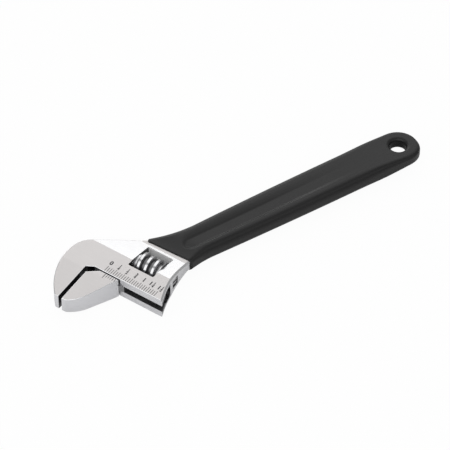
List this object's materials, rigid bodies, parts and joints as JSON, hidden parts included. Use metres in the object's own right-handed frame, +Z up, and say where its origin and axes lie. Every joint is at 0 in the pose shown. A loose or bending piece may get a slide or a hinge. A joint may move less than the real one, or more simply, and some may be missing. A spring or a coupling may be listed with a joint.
{
  "type": "adjustable wrench",
  "caption": "Adjustable open-end wrench with a worm-driven sliding jaw, an angled satin chrome head, a black dipped handle grip and a hang hole in its tail.",
  "frame": {"origin": "centre of the hang hole, halfway through the thickness", "axes": "+X along the handle away from the head, +Z up through the thickness along the hang hole, +Y across the handle towards the back of the fixed jaw"},
  "size_m": [0.2719, 0.072, 0.018],
  "materials": {
    "satin_chrome": "satin",
    "worm_steel": "polished",
    "spring_steel": "satin",
    "black_vinyl": "satin"
  },
  "bodies": {
    "frame": {"wrench_body": "satin_chrome", "handle_grip": "black_vinyl", "worm_pin": "spring_steel", "worm_spring": "spring_steel"},
    "jaw": {"movable_jaw": "satin_chrome"},
    "worm": {"adjusting_worm": "worm_steel"}
  },
  "joints": [
    {"name": "worm_spin", "type": "hinge", "parent": "frame", "child": "worm", "pos_m": [-0.19361, -0.00273, 0], "axis": [-0.3827, 0.9239, 0], "range_deg": [-164.8, 2471.6]},
    {"name": "jaw_slide", "type": "slide", "parent": "frame", "child": "jaw", "axis": [0.3827, -0.9239, 0], "range_m": [-0.00238, 0.0357]}
  ],
  "couplings": [
    {"joint": "worm_spin", "follows": "jaw_slide", "rad_per_m": 1208.3}
  ]
}
